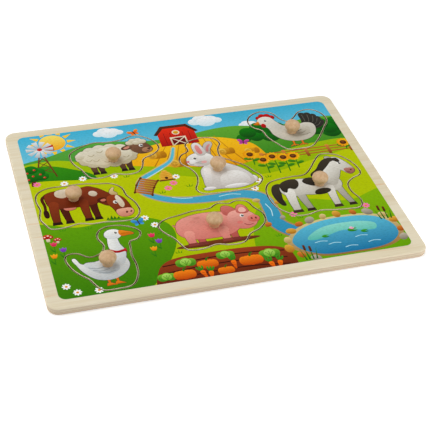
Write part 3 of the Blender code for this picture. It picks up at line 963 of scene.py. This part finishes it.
# THE RABBIT
# A sitting white rabbit on a tall piece of the printed ply. The far ear is drawn before the near one,
# and the saw takes both ears in one bow.
pen = animal_pen("rabbit")
fur, dim, deep = "f4f2ee", "cfc8c2", "b3aaa4"
pen.oval(25, -18.6, 4.6, 4.8, "ffffff", dim)
pen.curve([(-1, 20), (1.4, 29), (5.4, 37), (3.6, 41), (-1.4, 38.6), (-5, 30), (-6, 21)], "dcd6d0", deep)
pen.curve([(-1.6, 26), (0.8, 32), (3.4, 37), (0.6, 36), (-2.4, 30)], "e3a29c", "cf8a86")
pen.curve([
    (-15, -24), (-15.6, -10), (-14, 2), (-6, 9), (6, 8.4), (16, 2), (24, -8), (27, -18), (23, -25.6),
    (10, -27), (-6, -26.4),
], fur, dim)
pen.curve([
    (0, -25.6), (-2, -15), (4, -6), (14, -4.6), (21.6, -11), (23, -20), (18, -26),
], "fbfaf7", dim)
pen.oval(9.4, -25.4, 10.4, 2.9, "ffffff", dim)
pen.stroke([(-9, 1), (-11, -10), (-12.4, -21)], (6.6, 5), "fdfcfa", dim)
pen.oval(-13.6, -24.6, 5.2, 2.5, "ffffff", dim)
pen.oval(-10.6, 16.6, 12.2, 9.8, "fbfaf7", "dcd6d0")
pen.curve([(-11, 23), (-13.6, 33), (-11.6, 40.6), (-7, 40.6), (-4, 32), (-4.4, 23)], fur, dim)
pen.curve([(-9.6, 25), (-11, 33), (-9.6, 38), (-7.6, 37), (-6.4, 30), (-6.6, 25)], "efa8a4", "e08e8c")
pen.oval(-18.4, 13.4, 4.6, 3.9, "ffffff", "e6e0da")
pen.oval(-22, 15.4, 1.7, 1.3, "e77f86")
pen.stroke([(-21.6, 14), (-20.6, 11.6), (-17.6, 11.2)], 0.6, "8f7f7a")
eye(pen, -15.4, 19.2, 1.9)
for dy in (-1.4, 0.6, 2.4):
    pen.stroke([(-16.4, 12.6), (-10, 11.6 + dy)], 0.35, "9a918c")
pen.oval(-8.4, 12.6, 2.6, 1.9, "f6c4c0")
print_animal("rabbit", pen, "56443a")


# THE PONY
# A standing pied pony with a dark mane and tail, on the largest of the printed ply pieces. Thin legs
# of ply would break, so the saw takes the meadow between them too.
pen = animal_pen("pony")
coat, dim, patch, deep = "f5f3ec", "cdc9bd", "4a4032", "2e271e"
pen.curve([
    (-32, 6), (-38, 6.6), (-42, 0), (-42.4, -10), (-39.4, -20), (-36.4, -21), (-36.6, -12),
    (-35, -3),
], patch, deep)
leg(pen, (-20, -8), (-17.6, -30), 7.4, dim, "a9a596", "38291d")
leg(pen, (14, -6), (18.6, -30), 6.6, dim, "a9a596", "38291d")
pen.curve([
    (-34, 3), (-29, 9.6), (-16, 10.6), (-2, 9.2), (9, 12), (18, 5), (18.4, -5), (9, -11.4),
    (-6, -12.6), (-18, -10.6), (-29, -11), (-34.6, -5),
], coat, dim)
leg(pen, (-28, -5), (-29, -30), 8.8, coat, dim, "4a3626")
leg(pen, (7, -6), (6, -30), 7.6, coat, dim, "4a3626")
pen.curve([
    (1, 9.4), (10, 19), (19, 30), (26, 31), (29, 24), (24, 14), (19, 4), (12, -4),
], coat, dim, -40)
pen.curve([(-34, 3), (-29, 9.6), (-18, 10.6), (-17, 4), (-22, -2), (-27, 0), (-31, -5)], patch, deep)
pen.curve([(-10, 10), (-2, 9.2), (0, 3), (-4, -1), (-9, 1), (-13, 6)], patch, deep)
pen.curve([(-7, -12.4), (4, -12), (7, -8), (1, -5.6), (-6, -7.6)], patch, deep)
pen.curve([
    (17, 29), (24, 34.4), (30.6, 29), (36, 17), (35.4, 11.4), (30, 9.4), (26, 14), (21, 20),
], coat, dim, -50)
pen.curve([(27.6, 15.6), (31.6, 16.8), (36.2, 15.6), (35.6, 10.6), (30.4, 8.6)], "c98e80", "a86a5e")
pen.oval(33.4, 13.6, 0.8, 1.1, "5c2f28", turn=-20)
pen.stroke([(28.4, 12.2), (31.6, 11)], 0.5, "5c2f28")
eye(pen, 26.6, 25, 1.9)
pen.curve([(19, 30), (17.4, 36), (23, 33.2)], dim, "a9a596")
pen.curve([
    (25.4, 31), (20, 34), (12, 30), (5, 21), (-3, 12.4), (4, 10.4), (10, 17.6), (15, 22.6), (20, 28),
], patch, deep, -140)
pen.curve([(19.6, 31.6), (26, 33), (28.4, 29), (26.8, 26), (23.6, 28.6)], patch, deep)
print_animal("pony", pen, "3a3430")


# THE HEN
# A pale hen with a red comb and a dark fan of tail feathers, on a piece of the printed ply. The sky
# and the trees behind her are part of the one print.
pen = animal_pen("hen")
body, dim, tail = "f4f1e8", "cfc9ba", "3d3a33"
for x in (-3, 5):
    pen.stroke([(x, -11), (x - 0.6, -18.6)], (1.9, 1.4), "e89018")
    for dx in (-3.4, 0, 3):
        pen.stroke([(x - 0.6, -18.4), (x - 0.6 + dx, -20.4)], 1.1, "e89018")
for turn in (95, 72, 49, 27, 5):
    reach = (cos(radians(turn)), sin(radians(turn)))
    bow = (18 + 9 * reach[0], 5 + 9 * reach[1])
    tip = (18.5 + 12.4 * reach[0], 9 + 15 * reach[1])
    pen.stroke([(13, 2), bow, tip], (6, 6.4), tail, "1f1d19", -130)
    pen.stroke([(15, 3.6), bow, tip], 0.5, "77746a")
for x, y, r in ((-22.6, 26.6, 2.5), (-18.8, 29, 3), (-14.2, 28.6, 3), (-10.6, 26, 2.5)):
    pen.oval(x, y, r, r * 1.15, "e01f1a", "a80f10")
pen.curve([
    (-25.6, 20), (-23.6, 25.4), (-18.6, 28), (-12.6, 26.4), (-9, 19), (-4, 11), (6, 9), (16, 12),
    (23, 8), (21, -4), (13, -12), (1, -14), (-10, -10), (-17, -1), (-19, 10),
], body, dim)
pen.curve([(-3, 6), (8, 7), (17, 5), (15.4, -3), (7, -8), (-1, -6.4), (-5, 0)], "e2ddcf", "bdb6a4")
for x, y in ((-1.4, 1.6), (1.4, -1.6), (5, -4.6)):
    pen.stroke([(x, y), (x + 6, y - 1.6), (x + 11, y + 0.6)], 0.8, "a59e8c")
pen.flat([(-24.6, 18.8), (-29.4, 17), (-24, 16)], "d97408", "b85c04")
pen.flat([(-24.4, 22.2), (-30.6, 17.8), (-24, 17.6)], "f7a52c", "e88614")
pen.oval(-21.6, 14.6, 2.3, 3.3, "e01f1a", "a80f10")
eye(pen, -18.4, 21.8, 1.7)
print_animal("hen", pen, "56443a")


# THE KNOBS
# Beech, turned on a lathe and sanded: a flattened round head that draws in to a short straight foot.
# A blind pilot hole in the foot takes the screw. The grain runs up the knob.
ANIMALS = "sheep", "cow", "goose", "pig", "rabbit", "pony", "hen"
KNOB_FOOT = 0.0061
KNOB_WIDEST = 0.0131
KNOB_TOP = KNOB_WIDEST + 0.0046
KNOB_RADIUS = 0.0068
KNOB_FOOT_RADIUS = 0.0041
KNOB_FOOT_ROUND = 0.0003
KNOB_BELLY_DEPTH = 0.0056
PILOT_RADIUS = 0.0016
PILOT_TOP = 0.0134
POINT_HALF_ANGLE = radians(25)
BELLY_STEPS = 18
CROWN_STEPS = 17
KNOB_TURNS = 72

beech = Finish("turned_beech", specular=0.35)
lengthwise = beech.cloud(420.0, 420.0, 60.0, detail=4.0)
rays = beech.cloud(2600.0, 2600.0, 620.0, detail=1.0)
pith = beech.cloud(120.0, 120.0, 120.0, detail=2.0)
warm = beech.mix("d5b188", "b88c60", beech.between(0.3, 0.75, lengthwise) * 0.55)
warm = beech.mix(warm, "e6ccaa", beech.between(0.5, 0.8, pith) * 0.5)
beech.put("Base Color", beech.mix(warm, "8f6238", beech.between(0.60, 0.74, rays) * 0.55))
beech.put("Roughness", 0.44 + 0.16 * lengthwise)
beech.relief(rays * 0.6 + lengthwise * 0.4, 0.00005)


def turned(half, steps):
    """A bmesh spun round the upright at the middle of the board from a half profile."""
    shape = bmesh.new()
    dots = [shape.verts.new((radius, 0.0, height)) for radius, height in half]
    line = [shape.edges.new(pair) for pair in zip(dots, dots[1:])]
    bmesh.ops.spin(
        shape, geom=dots + line, axis=(0.0, 0.0, 1.0), cent=(0.0, 0.0, 0.0), angle=2 * pi, steps=steps,
        use_merge=True, use_duplicate=False,
    )
    bmesh.ops.remove_doubles(shape, verts=shape.verts, dist=1e-7)
    bmesh.ops.recalc_face_normals(shape, faces=shape.faces)
    return shape


def copy_at_knob(shape, name):
    """A copy of what was turned at the middle of the board, moved to where an animal's knob stands."""
    moved = shape.copy()
    bmesh.ops.translate(moved, vec=(*knob_axis(name), 0.0), verts=moved.verts)
    return moved


half = [(0.0, PILOT_TOP), (PILOT_RADIUS, PILOT_TOP - PILOT_RADIUS / tan(POINT_HALF_ANGLE))]
half += [(PILOT_RADIUS, KNOB_FOOT), (KNOB_FOOT_RADIUS - KNOB_FOOT_ROUND, KNOB_FOOT)]
half.append((KNOB_FOOT_RADIUS, KNOB_FOOT + KNOB_FOOT_ROUND))
belly_drop = KNOB_BELLY_DEPTH * (1 - (KNOB_FOOT_RADIUS / KNOB_RADIUS) ** 2) ** 0.5
for step in range(BELLY_STEPS + 1):
    drop = belly_drop * (1 - step / BELLY_STEPS)
    half.append((KNOB_RADIUS * (1 - (drop / KNOB_BELLY_DEPTH) ** 2) ** 0.5, KNOB_WIDEST - drop))
for step in range(1, CROWN_STEPS):
    rise = pi / 2 * step / CROWN_STEPS
    half.append((KNOB_RADIUS * cos(rise), KNOB_WIDEST + (KNOB_TOP - KNOB_WIDEST) * sin(rise)))
half.append((0.0, KNOB_TOP))

knob_shape = turned(half, KNOB_TURNS)
for name in ANIMALS:
    knob = copy_at_knob(knob_shape, name)
    knob = add_piece(name + "_turned_knob", knob, beech, name, smooth_below=radians(50))
    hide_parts(name + "_knob")
knob_shape.free()


# THE SCREWS
# One small zinc-plated countersunk wood screw holds each knob, driven up from under the piece. Its
# cross slot shows when a piece is turned over, and its thread is hidden in the knob.
SCREW_HEAD_BOTTOM = 0.0033
SCREW_HEAD_RADIUS = 0.0026
SCREW_HEAD_RIM = 0.0003
SCREW_SHANK_RADIUS = 0.0013
SCREW_CORE_RADIUS = 0.0010
SCREW_TIP = SCREW_HEAD_BOTTOM + 0.0096
SCREW_RIDGES = 5
SCREW_TURNS = 32
SLOT_HALF_LENGTH = 0.0013
SLOT_HALF_WIDTH = 0.0003
SLOT_DEPTH = 0.0011
SLOT_TAPER = 0.6

zinc = Finish("zinc_plated_steel", metallic=1.0)
bloom = zinc.cloud(900.0, 900.0, 900.0)
zinc.put("Base Color", zinc.mix("c9c6bc", "8f9098", zinc.between(0.35, 0.7, bloom)))
zinc.put("Roughness", 0.28 + 0.2 * bloom)
zinc.relief(bloom, 0.00001)


def cut_cross_slot(plain):
    """Cuts the driver's cross slot into the head of a screw, and gives the cut screw."""
    cross = bmesh.new()
    long, short = SLOT_HALF_LENGTH, SLOT_HALF_WIDTH
    quarter = [Vector((long, -short)), Vector((long, short)), Vector((short, short))]
    rim = [Matrix.Rotation(pi / 2 * k, 2) @ p for k in range(4) for p in quarter]
    base = cross.faces.new([cross.verts.new((*p, SCREW_HEAD_BOTTOM - SLOT_DEPTH)) for p in rim])
    bottom = pull(cross, [base], 2 * SLOT_DEPTH)
    bmesh.ops.scale(cross, vec=(SLOT_TAPER, SLOT_TAPER, 1.0), verts=bottom)
    bmesh.ops.recalc_face_normals(cross, faces=cross.faces)
    plain, cutter = new_object("plain_screw", plain), new_object("cross_slot", cross)
    cut = plain.modifiers.new("slot", "BOOLEAN")
    cut.operation = "DIFFERENCE"
    cut.solver = "EXACT"
    cut.object = cutter
    slotted = bmesh.new()
    slotted.from_mesh(plain.evaluated_get(bpy.context.evaluated_depsgraph_get()).to_mesh())
    for helper in (plain, cutter):
        bpy.data.objects.remove(helper)
    return slotted


cone_top = SCREW_HEAD_BOTTOM + SCREW_HEAD_RIM + SCREW_HEAD_RADIUS - SCREW_SHANK_RADIUS
point = SCREW_TIP - SCREW_SHANK_RADIUS / tan(POINT_HALF_ANGLE)
pitch = (point - cone_top) / (SCREW_RIDGES + 0.5)
half = [(0.0, SCREW_HEAD_BOTTOM), (SCREW_HEAD_RADIUS, SCREW_HEAD_BOTTOM)]
half += [(SCREW_HEAD_RADIUS, SCREW_HEAD_BOTTOM + SCREW_HEAD_RIM), (SCREW_SHANK_RADIUS, cone_top)]
for ridge in range(SCREW_RIDGES):
    foot = cone_top + (ridge + 0.5) * pitch
    half += [(SCREW_CORE_RADIUS, foot), (SCREW_SHANK_RADIUS, foot + 0.45 * pitch)]
    half += [(SCREW_CORE_RADIUS, foot + 0.55 * pitch)]
half += [(SCREW_CORE_RADIUS, point), (0.0, SCREW_TIP)]

screw_shape = cut_cross_slot(turned(half, SCREW_TURNS))
for name in ANIMALS:
    screw = copy_at_knob(screw_shape, name)
    screw = add_piece(name + "_wood_screw", screw, zinc, name, smooth_below=radians(30))
    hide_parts(name + "_knob_screw")
screw_shape.free()


# THE TABLE AND THE STUDIO
# A white table under soft light from above and the left, with a small lamp low at the right. The
# table glows a little for the camera and in reflections, and more so farther off, so that only the
# board's own shade shows on it.
TABLE_REACH = 6.0
TABLE_TOP = -0.0002
NEAR_GLOW = (0.42, 0.42, 0.42, 1.0)
FAR_GLOW = "ffffff"
GLOW_STARTS = 0.22
GLOW_FULL = 1.6
ROOM_LIGHT = 0.24
WHITE_LIGHT = 1.0


def seen(nodes):
    """1 for what the camera, a gloss or a glass looks at, and 0 for light that falls on things."""
    rays = "Is Camera Ray", "Is Glossy Ray", "Is Transmission Ray"
    camera, gloss, glass = (nodes.node("ShaderNodeLightPath", output=ray) for ray in rays)
    return nodes.math("MAXIMUM", nodes.math("MAXIMUM", camera, gloss), glass)


paint = Finish("white_table", specular=0.0)
paint.put("Roughness", 0.9)
paint.put("Base Color", "f2f2f2")
paint.put("Emission Strength", 1.0)
spot = paint.node("ShaderNodeTexCoord", output="Object")
far_off = paint.node("ShaderNodeVectorMath", {"operation": "LENGTH"}, {0: spot}, output="Value")
glow = paint.mix(NEAR_GLOW, FAR_GLOW, paint.between(GLOW_STARTS, GLOW_FULL, far_off))
paint.put("Emission Color", paint.mix("000000", glow, seen(paint)))

ground = bmesh.new()
bmesh.ops.create_grid(ground, x_segments=1, y_segments=1, size=TABLE_REACH)
bmesh.ops.translate(ground, vec=(0.0, 0.0, TABLE_TOP), verts=ground.verts)
table = new_object("table", ground)
table.data.materials.append(paint.made)


def soft_box(name, spot, size, watts):
    """A square soft light that looks at the board."""
    lamp = bpy.data.lights.new(name, "AREA")
    lamp.shape = "SQUARE"
    lamp.size = size
    lamp.energy = watts
    holder = add_object(name, lamp)
    holder.location = spot
    holder.rotation_euler = (-Vector(spot)).to_track_quat("-Z", "Y").to_euler()


soft_box("key_light", (-0.45, 0.45, 1.4), size=1.3, watts=12.5)
soft_box("left_light", (-1.0, -0.1, 0.4), size=0.6, watts=3.6)
soft_box("right_light", (0.5, -0.5, 0.26), size=0.45, watts=2.5)

world = bpy.data.worlds.new("studio")
world.use_nodes = True
bpy.context.scene.world = world
air = Nodes(world.node_tree)
air.tree.nodes.remove(air.tree.nodes["Background"])
room = air.node("ShaderNodeBackground", None, {"Color": "ffffff", "Strength": ROOM_LIGHT})
white = air.node("ShaderNodeBackground", None, {"Color": "ffffff", "Strength": WHITE_LIGHT})
either = air.node("ShaderNodeMixShader", None, {0: seen(air), 1: room, 2: white})
air.feed(air.tree.nodes["World Output"], "Surface", either)
